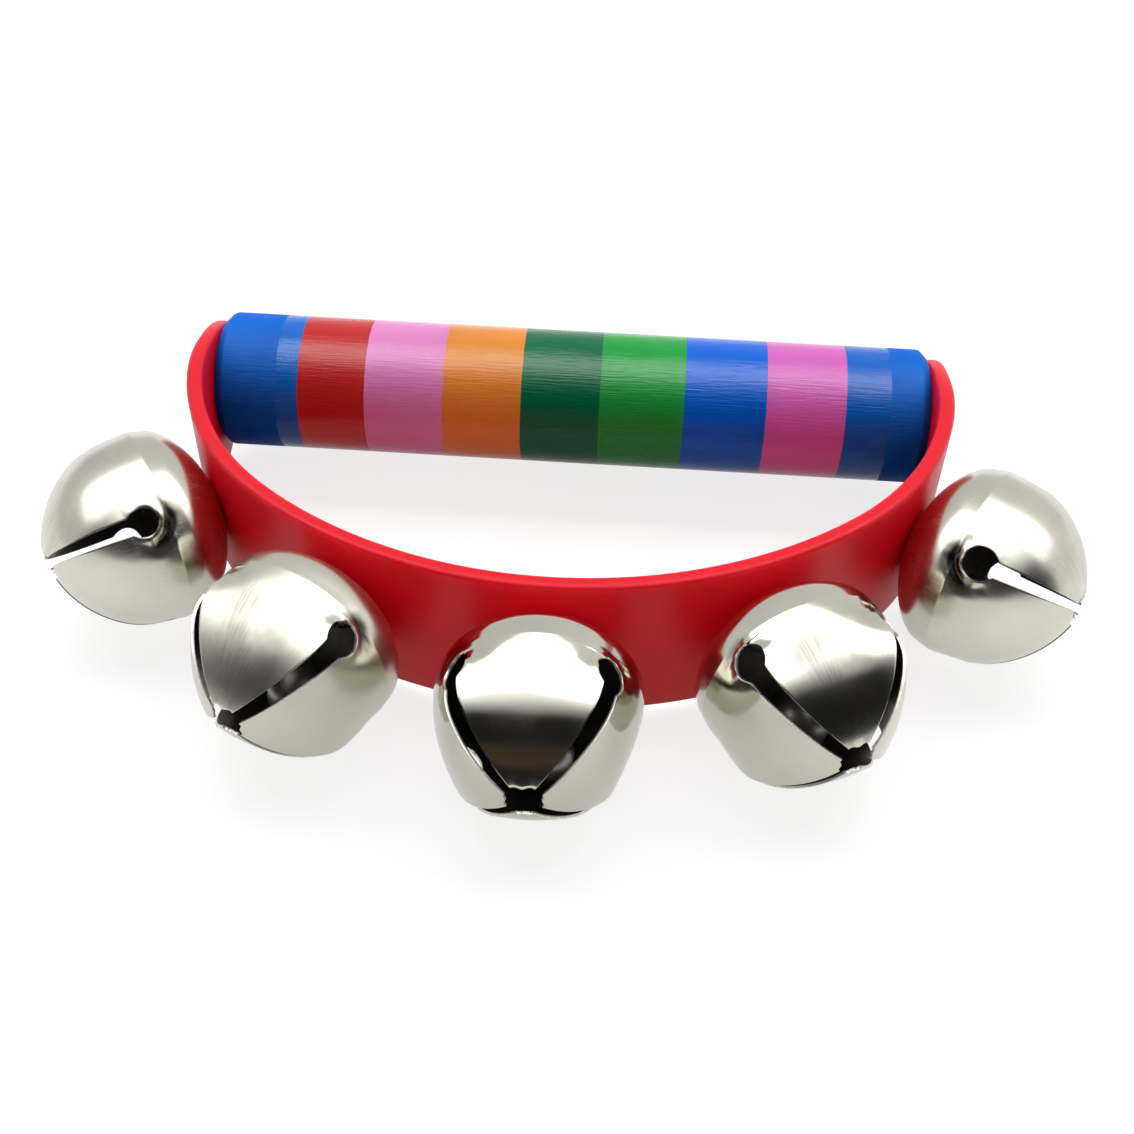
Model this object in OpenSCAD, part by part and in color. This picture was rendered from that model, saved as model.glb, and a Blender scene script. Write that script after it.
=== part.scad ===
// Hand bell rattle: a painted dowel handle, a bent plastic band and five riveted jingle bells.
// Millimetres. The rattle lies on its bells: +Z is up, +X runs along the handle, -Y is the belled front.

/* [Handle] */
// Diameter of the wooden dowel
dowel_d = 19; // [14:0.5:24]
// Length of the dowel, which is also the gap between the two ends of the band
dowel_len = 100; // [90:1:130]
// Chamfer round each end of the dowel
dowel_chamfer = 1.2; // [0.4:0.1:3]
// Widths of the painted stripes from the left end, where the last stripe takes what is left
stripe_widths = [11.1, 9.2, 11.2, 11.5, 11.3, 11.5, 11.8, 11.1]; // [4:0.1:20]

/* [Band] */
// Width of the band along its belled front
band_w = 22.5; // [18:0.5:28]
// Thickness of the band
band_t = 2.1; // [1.4:0.1:4]
// Width of the rounded tongue at each end of the band
tongue_w = 18; // [12:0.5:22]
// Distance in front of the dowel's axis over which the band widens from tongue to full width
taper_len = 22; // [10:1:40]
// Straight length of the band in front of the dowel's axis, before the side bend
end_straight = 5.8; // [1:0.1:15]
// Inside radius of each side bend
side_r = 36; // [20:1:44]
// Angle that each side bend turns through
side_turn = 50; // [35:1:60]

/* [Bells] */
// Outside diameter of a bell
bell_d = 25; // [20:0.5:30]
// Thickness of the bell's sheet metal
bell_wall = 0.6; // [0.3:0.05:1]
// Flat ring of the bell's seat outside the tail of its rivet
seat_land = 0.1; // [0.05:0.05:1]
// Clear distance between opposite petal tips at the mouth
mouth_w = 4.8; // [3:0.1:7]
// Width of a slot at the mouth
slot_tip_w = 1.4; // [0.8:0.1:2.4]
// Width of a slot beside the round hole that ends it
slot_root_w = 2.1; // [1:0.1:3]
// Diameter of the round hole that ends each slot
slot_hole_d = 4.4; // [3.2:0.1:6]
// Height of the centres of those holes above the bell's widest ring
slot_hole_rise = 1.5; // [0:0.1:3]
// Gap between the middle bell and the next ones, taken along the band's outer face
inner_gap = 2.9; // [0.5:0.1:6]
// Gap between those bells and the outer ones, taken along the band's outer face
outer_gap = 1.1; // [0.5:0.1:6]
// Turn of each bell about its own rivet, left to right, as they came to be riveted
bell_turns = [3, -1, 2.5, 0, 3.5]; // [-10:0.5:10]
// How far each bell sits to the right of its even place, along the band's outer face
bell_shifts = [1, 0.9, 0, -0.2, 1]; // [-1.5:0.1:1.5]
// Diameter of the loose steel pea in each bell
pea_d = 8.5; // [7:0.1:9.5]

/* [Rivets] */
// Diameter of the rivet's shank
rivet_d = 3.2; // [2.4:0.1:4]
// Diameter of the domed flange that bears on the inside of the band
rivet_head_d = 6.4; // [5:0.1:9]
// Height of that flange
rivet_head_h = 1; // [0.6:0.1:2]
// Diameter of the tail, set inside the bell
rivet_tail_d = 5.2; // [4.2:0.1:6]
// Height of the tail
rivet_tail_h = 2.4; // [1.5:0.1:3]
// Diameter of the steel mandrel left in the rivet
mandrel_d = 1.7; // [1.2:0.1:2]
// Diameter of the mandrel's head
mandrel_head_d = 2.9; // [2.4:0.1:3.6]
// Height of the mandrel's head
mandrel_head_h = 0.9; // [0.5:0.1:1.2]
// Depth of the broken end of the mandrel below the crown of the flange
mandrel_sunk = 0.4; // [0.1:0.1:0.8]

/* [End screws] */
// Diameter of the screw's shank
screw_d = 3; // [2.5:0.1:4]
// Length of the screw under its head
screw_len = 18; // [12:1:30]
// Diameter of the round head
screw_head_d = 6.4; // [5:0.1:9]
// Height of the round head
screw_head_h = 2.2; // [1.6:0.1:3.5]
// Length of each arm-to-arm cut of the cross recess
recess_len = 3.4; // [2:0.1:4.5]
// Width of those cuts
recess_w = 0.8; // [0.5:0.1:1.2]
// Depth of those cuts below the crown of the head
recess_depth = 1.2; // [0.8:0.1:1.5]

/* [Fits] */
// Gap all round a rivet or a screw in its hole
hole_fit = 0.05; // [0.02:0.01:0.15]
// Gap all round the mandrel in its rivet
mandrel_fit = 0.03; // [0.01:0.01:0.1]
// Gap under the pea as it lies in its bell
pea_gap = 0.25; // [0.15:0.05:0.5]

/* [Hidden] */
$fn = 96;
BELLS = [1, 2, 3, 4, 5];
SIDES = [["left", -1], ["right", 1]];

STRIPE_COLOURS = ["#1f62c4", "#b41f25", "#d27fc4", "#e08a2a", "#0d6b43", "#2f9a36", "#1357cf", "#c85fae", "#1f4fb4"];
// Step of the points along the band's bends, in degrees
BEND_STEP = 2;
// Length by which a cutting shape runs past what it cuts
PAST = 1;

dowel_r = dowel_d / 2;
half_len = dowel_len / 2;
bell_r = bell_d / 2;
// The rounded base springs from the flat seat, which takes the rivet's tail
seat_flat_r = rivet_tail_d / 2 + seat_land;
bell_base_h = bell_r - seat_flat_r;
slot_hole_h = bell_base_h + slot_hole_rise;
bell_reach = bell_base_h + sqrt(pow(bell_r, 2) - pow(mouth_w / 2, 2));
rivet_tail_top = bell_wall + rivet_tail_h;

// The pea lies at the height of the widest ring, or higher if the rivet is in its way
pea_room = bell_r - bell_wall - pea_d / 2 - pea_gap;
pea_h = max(bell_base_h, rivet_tail_top + mandrel_head_h + pea_gap + pea_d / 2);
pea_drop = sqrt(pow(pea_room, 2) - pow(pea_h - bell_base_h, 2));

// The front bend is tangent to both side bends and centred on the middle of the handle
front_r = side_r + (half_len - side_r) / cos(side_turn);
front_y = (front_r - side_r) * sin(side_turn) - end_straight;
front_half_turn = 90 - side_turn;
band_depth = front_r - front_y + band_t;

// Place of each rivet: signed distance from the middle of the band, along its outer face
inner_at = bell_d + inner_gap;
outer_at = inner_at + bell_d + outer_gap;
rivet_at = [-outer_at, -inner_at, 0, inner_at, outer_at] + bell_shifts;
front_half_len = (front_r + band_t) * front_half_turn * PI / 180;

function on_front(at) = abs(at) <= front_half_len;
function bend_r(at) = on_front(at) ? front_r : side_r;
function bend_centre(at) = on_front(at) ? [0, front_y] : [sign(at) * (half_len - side_r), -end_straight];
function degrees_along(len, r) = len / r * 180 / PI;
function rivet_angle(at) = on_front(at)
    ? degrees_along(at, front_r + band_t)
    : sign(at) * (front_half_turn + degrees_along(abs(at) - front_half_len, side_r + band_t));

// The middle of the handle's axis, so that the origin is under the middle of the whole rattle
back_r = max(dowel_d, tongue_w) / 2;
function bell_x(at) = bend_centre(at)[0] + (bend_r(at) + band_t + bell_base_h) * sin(rivet_angle(at));
handle_x = -(bell_x(rivet_at[0]) + bell_x(rivet_at[4])) / 2;
handle_y = (band_depth + bell_reach - back_r) / 2;
handle_z = max(bell_d, band_w, dowel_d) / 2;

// Height of a flat disc of radius r above the bottom of a round trough of radius trough_r
function disc_lift(r, trough_r) = trough_r - sqrt(pow(trough_r, 2) - pow(r, 2));
function rivet_lift(i) = disc_lift(rivet_head_d / 2, bend_r(rivet_at[i - 1])) + hole_fit;
// Radius of the ball whose cap has radius r and height h
function cap_ball_r(r, h) = (pow(r, 2) + pow(h, 2)) / (2 * h);

// Points on one face of the band, from the right tongue round the front to the left tongue
function arc_points(centre, r, from, to) =
    let (steps = ceil(abs(to - from) / BEND_STEP))
    [for (k = [0 : steps]) let (a = from + (to - from) * k / steps) centre + r * [cos(a), sin(a)]];
function band_face(off) = concat(
    [[half_len + off, back_r + PAST]],
    arc_points([half_len - side_r, -end_straight], side_r + off, 0, -side_turn),
    arc_points([0, front_y], front_r + off, -side_turn, -180 + side_turn),
    arc_points([side_r - half_len, -end_straight], side_r + off, side_turn - 180, -180),
    [[-half_len - off, back_r + PAST]]
);
function reversed(list) = [for (k = [len(list) - 1 : -1 : 0]) list[k]];
function sum_first(list, n) = n == 0 ? 0 : list[n - 1] + sum_first(list, n - 1);

// Frame of the handle's axis, from which the band is drawn
module on_handle() {
    translate([handle_x, handle_y, handle_z]) children();
}

// Frame of bell i: the band's outer face at z 0, z outwards along the rivet, y up
module on_bell(i) {
    at = rivet_at[i - 1];
    angle = rivet_angle(at);
    apex = bend_centre(at) + (bend_r(at) + band_t) * [sin(angle), -cos(angle)];
    on_handle() translate([apex[0], apex[1], 0]) rotate([90, 0, angle]) children();
}

// Frame of an end of the handle: the tongue's outer face at z 0, z outwards
module on_end(side) {
    on_handle() translate([side * (half_len + band_t), 0, 0]) rotate([0, side * 90, 0]) children();
}

// Round cap of radius r and height h, with its flat side on z 0
module round_cap(r, h) {
    ball = cap_ball_r(r, h);
    intersection() {
        translate([0, 0, h - ball]) sphere(r = ball);
        cylinder(r = r + PAST, h = h + PAST);
    }
}

module dowel_body() {
    difference() {
        rotate([0, 90, 0]) rotate_extrude() polygon([
            [0, -half_len], [dowel_r - dowel_chamfer, -half_len], [dowel_r, dowel_chamfer - half_len],
            [dowel_r, half_len - dowel_chamfer], [dowel_r - dowel_chamfer, half_len], [0, half_len]
        ]);
        for (s = SIDES) translate([s[1] * half_len, 0, 0]) rotate([0, s[1] * 90, 0])
            translate([0, 0, band_t - screw_len - hole_fit])
                cylinder(r = screw_d / 2 + hole_fit, h = screw_len);
    }
}

module handle_dowel() {
    last = len(stripe_widths);
    on_handle() for (k = [0 : last]) {
        from = sum_first(stripe_widths, k) - half_len;
        to = k == last ? half_len + PAST : from + stripe_widths[k];
        color(STRIPE_COLOURS[k]) intersection() {
            dowel_body();
            translate([k == 0 ? from - PAST : from, -dowel_d, -dowel_d])
                cube([k == 0 ? to - from + PAST : to - from, 2 * dowel_d, 2 * dowel_d]);
        }
    }
}

// Outline of the band seen along the handle: x towards the back, y up
module band_side_view() {
    circle(d = tongue_w);
    polygon([[0, tongue_w / 2], [-taper_len, band_w / 2], [-taper_len, -band_w / 2], [0, -tongue_w / 2]]);
    translate([-taper_len - band_depth, -band_w / 2]) square([band_depth, band_w]);
}

module bell_band() {
    rivet_hole_r = rivet_d / 2 + hole_fit;
    screw_hole_r = screw_d / 2 + hole_fit;
    color("#c8161f") difference() {
        on_handle() intersection() {
            linear_extrude(height = band_w, center = true)
                polygon(concat(band_face(band_t), reversed(band_face(0))));
            rotate([90, 0, 90])
                linear_extrude(height = dowel_len + 2 * band_depth, center = true) band_side_view();
        }
        for (i = BELLS) on_bell(i)
            translate([0, 0, -band_t - PAST]) cylinder(r = rivet_hole_r, h = band_t + 2 * PAST);
        for (s = SIDES) on_end(s[1])
            translate([0, 0, -band_t - PAST]) cylinder(r = screw_hole_r, h = band_t + 2 * PAST);
    }
}

module end_screw(side) {
    r = screw_d / 2;
    color("silver") on_end(side) difference() {
        union() {
            round_cap(screw_head_d / 2, screw_head_h);
            rotate_extrude() polygon([[0, 0], [r, 0], [r, screw_d - screw_len], [0, -screw_len]]);
        }
        for (turn = [0, 90]) rotate([0, 0, turn])
            translate([-recess_len / 2, -recess_w / 2, screw_head_h - recess_depth])
                cube([recess_len, recess_w, recess_depth + PAST]);
    }
}

// Half section of the bell, drawn in by inset: x is the radius, y the height above the seat
module bell_section(inset) {
    front = bell_r - inset;
    base = bell_base_h - inset;
    translate([0, bell_base_h]) intersection() {
        circle(r = front);
        square(front);
    }
    translate([seat_flat_r, bell_base_h]) intersection() {
        circle(r = base);
        translate([0, -base]) square(base);
    }
    translate([0, inset]) square([seat_flat_r, base]);
}

// The four slots and the mouth where they cross, seen along the bell's axis
module slot_cross() {
    far = bell_r + PAST;
    for (k = [0 : 3]) rotate(45 + 90 * k) polygon([
        [0, -slot_tip_w / 2], [far, -slot_root_w / 2], [far, slot_root_w / 2], [0, slot_tip_w / 2]
    ]);
    square(mouth_w, center = true);
}

module bell_shell(i) {
    color("#d9d8d2") on_bell(i) rotate([0, 0, bell_turns[i - 1]]) difference() {
        rotate_extrude() difference() {
            bell_section(0);
            bell_section(bell_wall);
        }
        translate([0, 0, slot_hole_h]) {
            linear_extrude(height = bell_d) slot_cross();
            for (k = [0 : 3]) rotate([0, 90, 45 + 90 * k])
                translate([0, 0, bell_r / 2]) cylinder(d = slot_hole_d, h = bell_r);
        }
        translate([0, 0, -PAST]) cylinder(r = rivet_d / 2 + hole_fit, h = bell_wall + 2 * PAST);
    }
}

module bell_pea(i) {
    color("dimgray") on_bell(i) translate([0, -pea_drop, pea_h]) sphere(d = pea_d);
}

module bell_rivet(i) {
    flange_z = -band_t - rivet_lift(i);
    tail_chamfer = (rivet_tail_d - rivet_d) / 2;
    color("gainsboro") on_bell(i) difference() {
        union() {
            translate([0, 0, flange_z]) mirror([0, 0, 1]) round_cap(rivet_head_d / 2, rivet_head_h);
            rotate_extrude() polygon([
                [0, flange_z], [rivet_d / 2, flange_z], [rivet_d / 2, bell_wall],
                [rivet_tail_d / 2, bell_wall], [rivet_tail_d / 2, rivet_tail_top - tail_chamfer],
                [rivet_d / 2, rivet_tail_top], [0, rivet_tail_top]
            ]);
        }
        translate([0, 0, flange_z - rivet_head_h - PAST])
            cylinder(r = mandrel_d / 2 + mandrel_fit, h = rivet_tail_top - flange_z + rivet_head_h + 2 * PAST);
    }
}

module rivet_mandrel(i) {
    foot = mandrel_sunk - band_t - rivet_lift(i) - rivet_head_h;
    color("gray") on_bell(i) {
        translate([0, 0, foot]) cylinder(d = mandrel_d, h = rivet_tail_top - foot);
        translate([0, 0, rivet_tail_top]) cylinder(d = mandrel_head_d, h = mandrel_head_h);
    }
}

handle_dowel();
bell_band();
for (s = SIDES) end_screw(s[1]);
for (i = BELLS) bell_shell(i);
for (i = BELLS) bell_pea(i);
for (i = BELLS) bell_rivet(i);
for (i = BELLS) rivet_mandrel(i);
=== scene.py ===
# %% [markdown]
# # Dressing a bell rattle
# The rattle is a painted wooden handle, a red plastic band bent to a D, and five nickel jingle bells.
# Its construction is already there as a frame of named nodes, which fixes every size and place.
# This lesson gives each visible piece its true shape and finish, and lights it as for a catalogue.

# %% Load the frame
import math
import random

import bmesh
import bpy
from mathutils import Matrix, Vector, noise


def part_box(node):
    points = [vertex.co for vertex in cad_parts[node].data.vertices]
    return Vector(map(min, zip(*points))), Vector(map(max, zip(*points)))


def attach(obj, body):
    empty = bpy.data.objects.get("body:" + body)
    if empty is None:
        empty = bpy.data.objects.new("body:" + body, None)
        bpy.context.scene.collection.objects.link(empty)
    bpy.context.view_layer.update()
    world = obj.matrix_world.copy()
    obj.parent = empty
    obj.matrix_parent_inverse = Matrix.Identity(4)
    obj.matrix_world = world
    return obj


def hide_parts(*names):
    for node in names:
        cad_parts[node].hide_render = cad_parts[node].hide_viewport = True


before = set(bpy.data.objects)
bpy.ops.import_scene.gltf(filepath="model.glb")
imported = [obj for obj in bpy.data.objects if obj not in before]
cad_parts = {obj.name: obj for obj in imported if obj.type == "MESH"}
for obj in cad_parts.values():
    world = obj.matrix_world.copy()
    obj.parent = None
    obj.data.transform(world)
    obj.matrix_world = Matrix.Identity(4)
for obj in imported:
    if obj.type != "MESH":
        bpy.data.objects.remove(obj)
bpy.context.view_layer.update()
print("nodes in the frame:", len(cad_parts))

# %% [markdown]
# ## Places that the pieces follow
# A maker measures before cutting. Every new piece here sits where its node sits, so the places are
# read from the nodes' boxes, and only the forms that a box can't tell are written down in millimetres.

# %% Measure the handle and the band
MM = 0.001
BODY = "rattle_frame"


def in_mm(lengths):
    """Lengths in metres as millimetres, rounded for printing."""
    return [round(length / MM, 2) for length in lengths]


dowel_low, dowel_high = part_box("handle_dowel")
handle_mid = (dowel_low + dowel_high) / 2
handle_half = (dowel_high.x - dowel_low.x) / 2
handle_r = (dowel_high.z - dowel_low.z) / 2
band_low, band_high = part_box("bell_band")
band_half_w = (band_high.z - band_low.z) / 2
print("handle, long and across:", in_mm((2 * handle_half, 2 * handle_r)), "mm")
print("band, wide:", in_mm([2 * band_half_w]), "mm")

# %% [markdown]
# ## Camera
# The photograph looks down on the lying rattle from the bell side, a little right of the middle and
# turned by a degree or two. The camera's place comes from matching the handle, the band and the bells.

# %% Set the camera
CAMERA_AT = (7.51, -141.59, 152.94)
CAMERA_TURN = (44.507, -1.053, 3.808)
CAMERA_LENS = 48.57
CAMERA_SENSOR = 36.0
CAMERA_NEAR = 10

bpy.ops.object.select_all(action="DESELECT")
bpy.ops.object.camera_add(
    location=Vector(CAMERA_AT) * MM,
    rotation=[math.radians(angle) for angle in CAMERA_TURN],
)
camera = bpy.context.object
camera.data.sensor_width = CAMERA_SENSOR
camera.data.lens = CAMERA_LENS
camera.data.clip_start = CAMERA_NEAR * MM
scene = bpy.context.scene
scene.camera = camera
scene.view_settings.view_transform = "Standard"
print("camera stands", round((camera.location - handle_mid).length / MM), "mm from the handle")

# %% [markdown]
# ## Helpers for shader nodes
# A material is a small wiring diagram. `place` adds one node, and `fill` gives its sockets a plain
# value or a wire from another node. `srgb` turns a colour of a paint chart into linear light.
# The others are nodes that come up again and again: a sum, a blend of colours, a stretched range.

# %% Node helpers
WHOLE = (0.0, 1.0)


def srgb(red, green, blue):
    """A colour of 0 to 255 steps as linear light with full alpha."""
    steps = []
    for step in (red, green, blue):
        share = step / 255
        if share <= 0.04045:
            steps.append(share / 12.92)
        else:
            steps.append(((share + 0.055) / 1.055) ** 2.4)
    return (*steps, 1.0)


def fill(tree, node, sockets):
    """Set a node's sockets: a plain value is written there, another node's output is wired to it."""
    for name, value in sockets.items():
        if isinstance(value, bpy.types.NodeSocket):
            tree.links.new(value, node.inputs[name])
        else:
            node.inputs[name].default_value = value


def place(tree, kind, sockets=None, **settings):
    """Add one shader node with its settings, then fill its sockets."""
    made = tree.nodes.new("ShaderNode" + kind)
    for name, value in settings.items():
        setattr(made, name, value)
    fill(tree, made, sockets or {})
    return made


def blend_colour(tree, share, first, second):
    """The colour between two colours or wires, by a share of 0 to 1."""
    first_socket = 6
    second_socket = 7
    colour_output = 2
    sockets = {0: share, first_socket: first, second_socket: second}
    return place(tree, "Mix", sockets, data_type="RGBA").outputs[colour_output]


def reckon(tree, how, first, second=0.0):
    """One sum of two numbers or wires."""
    return place(tree, "Math", {0: first, 1: second}, operation=how).outputs[0]


def spread(tree, value, from_range, to_range):
    """A wire's range, stretched to a new range and held there."""
    limits = {"Value": value}
    limits["From Min"], limits["From Max"] = from_range
    limits["To Min"], limits["To Max"] = to_range
    return place(tree, "MapRange", limits).outputs["Result"]


def new_material(name):
    """A material with an empty wiring, its Principled shader and its output."""
    made = bpy.data.materials.new(name)
    made.use_nodes = True
    made.node_tree.nodes.clear()
    shader = place(made.node_tree, "BsdfPrincipled")
    place(made.node_tree, "OutputMaterial", {"Surface": shader.outputs[0]})
    return made, made.node_tree, shader


print("pure red as light:", srgb(255, 0, 0))

# %% [markdown]
# ## White room
# Shiny metal shows the room, so the room matters as much as the bells. A lit box would do, but the
# world is simpler. Its light on the rattle is weak and grows to the front. The camera sees it plain
# white, and mirrors see a pale room that is a little darker at the left and at the back.
# Light Path tells these rays apart, so the white background adds no light to the rattle.

# %% White world
AMBIENT = 0.18
FRONT_LIGHT = 0.42
FRONT_ZONE = (-1.0, 0.0)
LEFT_TO_RIGHT = (-1.0, 1.0)
SIDE_TONES = (0.78, 1.02)
BACK_ZONE = (0.35, 0.7)
BACK_TONES = (1.0, 0.92)


def looked_at(tree):
    """1 for rays that look straight, in a mirror or through glass, 0 for rays that gather light."""
    path = place(tree, "LightPath").outputs
    mirror = reckon(tree, "MAXIMUM", path["Is Camera Ray"], path["Is Glossy Ray"])
    return reckon(tree, "MAXIMUM", mirror, path["Is Transmission Ray"])


def grey(tree, tone):
    """The grey colour of one wire."""
    return place(tree, "CombineColor", {0: tone, 1: tone, 2: tone}).outputs[0]


world = bpy.data.worlds.new("white_room")
world.use_nodes = True
room_tree = world.node_tree
room_tree.nodes.clear()
room_side = place(room_tree, "TexCoord").outputs["Generated"]
room_axes = place(room_tree, "SeparateXYZ", {0: room_side}).outputs
side_tone = spread(room_tree, room_axes["X"], LEFT_TO_RIGHT, SIDE_TONES)
back_tone = spread(room_tree, room_axes["Y"], BACK_ZONE, BACK_TONES)
room_mirrored = reckon(room_tree, "MULTIPLY", side_tone, back_tone)
room_straight = place(room_tree, "LightPath").outputs["Is Camera Ray"]
room_pale = reckon(room_tree, "MAXIMUM", room_mirrored, room_straight)
in_front = spread(room_tree, room_axes["Y"], FRONT_ZONE, (1.0, 0.0))
front_share = reckon(room_tree, "MULTIPLY", in_front, in_front)
front_light = reckon(room_tree, "MULTIPLY", front_share, FRONT_LIGHT)
room_light = reckon(room_tree, "ADD", front_light, AMBIENT)
lit_room = grey(room_tree, room_light)
seen_room = grey(room_tree, room_pale)
room_colour = blend_colour(room_tree, looked_at(room_tree), lit_room, seen_room)
room = place(room_tree, "Background", {"Color": room_colour})
place(room_tree, "OutputWorld", {"Surface": room.outputs[0]})
scene.world = world
print("room gives", AMBIENT, "from all sides and up to", FRONT_LIGHT, "more from the front")

# %% [markdown]
# ## White floor
# The rattle lies on a white table. Its floor is white in the same way as the room, by a glow that only
# looking rays see, so it still takes the shadow. Mirrors also see the table darkened beside and behind
# the rattle, where the bells and the band stand in the way, and far off it is as white as the room.

# %% Floor
FLOOR_HALF = 1100
FLOOR_ALBEDO = 0.36
FLOOR_GLOW = 0.78
FLOOR_DULLNESS = 0.9
FLOOR_DROP = 0.4
FAR_ZONE = (250 * MM, 800 * MM)
SHADE_ZONE = (0.3, 1.3)
SHADES = (
    {"at": (0, -75, 0), "size": (62, 60, 100), "depth": 0.36},
    {"at": (0, 12, 0), "size": (60, 24, 100), "depth": 0.6},
)


def reckon_vector(tree, how, first, second):
    """One sum of two vectors or wires."""
    return place(tree, "VectorMath", {0: first, 1: second}, operation=how).outputs[0]


def length_of(tree, vector):
    """The length of a vector."""
    return place(tree, "VectorMath", {0: vector}, operation="LENGTH").outputs["Value"]


floor_paint, floor_tree, floor_shader = new_material("white_table")
floor_spot = place(floor_tree, "TexCoord").outputs["Object"]
floor_tone = 1.0
for shade in SHADES:
    off = reckon_vector(floor_tree, "SUBTRACT", floor_spot, Vector(shade["at"]) * MM)
    share = reckon_vector(floor_tree, "DIVIDE", off, Vector(shade["size"]) * MM)
    tone = spread(floor_tree, length_of(floor_tree, share), SHADE_ZONE, (1 - shade["depth"], 1.0))
    floor_tone = reckon(floor_tree, "MULTIPLY", floor_tone, tone)
straight = place(floor_tree, "LightPath").outputs["Is Camera Ray"]
far_tone = spread(floor_tree, length_of(floor_tree, floor_spot), FAR_ZONE, (1.0, 1 / FLOOR_GLOW))
seen_tone = reckon(floor_tree, "MULTIPLY", straight, far_tone)
floor_tone = reckon(floor_tree, "MAXIMUM", floor_tone, seen_tone)
floor_sockets = {
    "Base Color": (FLOOR_ALBEDO, FLOOR_ALBEDO, FLOOR_ALBEDO, 1),
    "Roughness": FLOOR_DULLNESS,
    "Specular IOR Level": 0.0,
    "Emission Color": reckon(floor_tree, "MULTIPLY", looked_at(floor_tree), floor_tone),
    "Emission Strength": FLOOR_GLOW,
}
fill(floor_tree, floor_shader, floor_sockets)

bpy.ops.mesh.primitive_plane_add(size=2 * FLOOR_HALF * MM, location=(0, 0, -FLOOR_DROP * MM))
floor = bpy.context.object
floor.name = "white_floor"
floor.data.materials.append(floor_paint)
print("floor is", 2 * FLOOR_HALF, "mm square")

# %% [markdown]
# ## Lamps
# One wide soft light hung over the table, brighter towards the back. Two lamps side by side give that
# step to the mirrors alone. The colours want a plainer light, so one more lamp at the back lights them
# and stays unseen in the mirrors. Cycles keeps such switches on each lamp as its ray visibility.

# %% Soft lamps overhead, for what mirrors see
LAMP_HEIGHT = 1200
LAMP_LONG = 4200
LAMP_FRONT = -560
LAMP_SPLIT = 180
LAMP_BACK = 620
FRONT_RADIANCE = 1.45
BACK_RADIANCE = 2.7
UP = Vector((0, 0, 1))


def soft_lamp(name, spot, facing, long, deep, radiance):
    """A rectangular lamp in mm at a spot; facing is the way from the part to the lamp."""
    bpy.ops.object.light_add(type="AREA", location=spot * MM)
    made = bpy.context.object
    made.name = name
    made.rotation_euler = facing.to_track_quat("Z", "Y").to_euler()
    made.data.shape = "RECTANGLE"
    made.data.size = long * MM
    made.data.size_y = deep * MM
    made.data.energy = radiance * math.pi * long * MM * deep * MM
    print(name, "gives", round(made.data.energy, 2), "W")
    return made


def overhead_lamp(name, height, front, back, radiance):
    """A soft lamp that looks down from between two places on Y, seen by mirrors alone."""
    spot = Vector((0, (front + back) / 2, height))
    made = soft_lamp(name, spot, UP, LAMP_LONG, back - front, radiance)
    made.visible_diffuse = False
    return made


overhead_lamp("mirrored_lamp_front", LAMP_HEIGHT, LAMP_FRONT, LAMP_SPLIT, FRONT_RADIANCE)
overhead_lamp("mirrored_lamp_back", LAMP_HEIGHT, LAMP_SPLIT, LAMP_BACK, BACK_RADIANCE)

# %% Soft lamp from the back, for the colours
KEY_RISE = 120
KEY_AWAY = 1400
KEY_LONG = 2600
KEY_DEEP = 1100
KEY_RADIANCE = 3.3

key_angle = math.radians(KEY_RISE)
key_spot = Vector((0, -math.cos(key_angle), math.sin(key_angle))) * KEY_AWAY
key = soft_lamp("key_lamp", key_spot, key_spot, KEY_LONG, KEY_DEEP, KEY_RADIANCE)
key.visible_glossy = False

# %% [markdown]
# ## Dark card
# The dark lower half of each bell is the unlit room behind the camera, with something brown in it.
# A curved card stands for that room. It is part of a large ball, whose other faces are deleted in edit
# mode, and a ramp over the angle of rise gives its tones. Only mirrors see it.

# %% Tones of the card
CARD_R = 800
CARD_DROOP = 0.5
CARD_DARK = (0.01, 0.01, 0.01, 1)
CARD_BLACK = (0.012, 0.012, 0.013, 1)
CARD_STOPS = (
    (0.02, CARD_BLACK),
    (0.15, (0.014, 0.013, 0.013, 1)),
    (0.20, (0.075, 0.046, 0.030, 1)),
    (0.32, (0.055, 0.036, 0.026, 1)),
    (0.37, (0.014, 0.014, 0.016, 1)),
    (0.57, (0.016, 0.016, 0.018, 1)),
    # Painted light: towards its top the card glows brighter than white, as the lamp's front edge seen
    # in mirrors.
    (0.75, (1.600, 1.600, 1.600, 1)),
)
BROWN_ZONE = (0.25 * CARD_R * MM, 0.55 * CARD_R * MM)
EDGE_ZONE = (0.45, 0.57)


def fill_ramp(node, stops):
    """Give a colour ramp its stops, each a share of its length and a colour."""
    elements = node.color_ramp.elements
    for number, (share, colour) in enumerate(stops):
        if number >= len(elements):
            elements.new(share)
        elements[number].position = share
        elements[number].color = colour


card_paint, card_tree, card_shader = new_material("dark_room")
card_spot = place(card_tree, "TexCoord").outputs["Object"]
card_axes = place(card_tree, "SeparateXYZ", {0: card_spot}).outputs
card_aside = reckon(card_tree, "MULTIPLY", card_axes["X"], CARD_DROOP)
card_ahead = place(card_tree, "CombineXYZ", {"X": card_aside, "Y": card_axes["Y"]}).outputs[0]
card_rise = reckon(card_tree, "ARCTAN2", card_axes["Z"], length_of(card_tree, card_ahead))
card_share = spread(card_tree, card_rise, (0.0, math.pi / 2), WHOLE)
card_ramp = place(card_tree, "ValToRGB", {"Fac": card_share})
fill_ramp(card_ramp, CARD_STOPS)
card_off = reckon(card_tree, "ABSOLUTE", card_axes["X"])
beside_brown = spread(card_tree, card_off, BROWN_ZONE, WHOLE)
below_edge = spread(card_tree, card_share, EDGE_ZONE, (1.0, 0.0))
blackened = reckon(card_tree, "MULTIPLY", beside_brown, below_edge)
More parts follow.
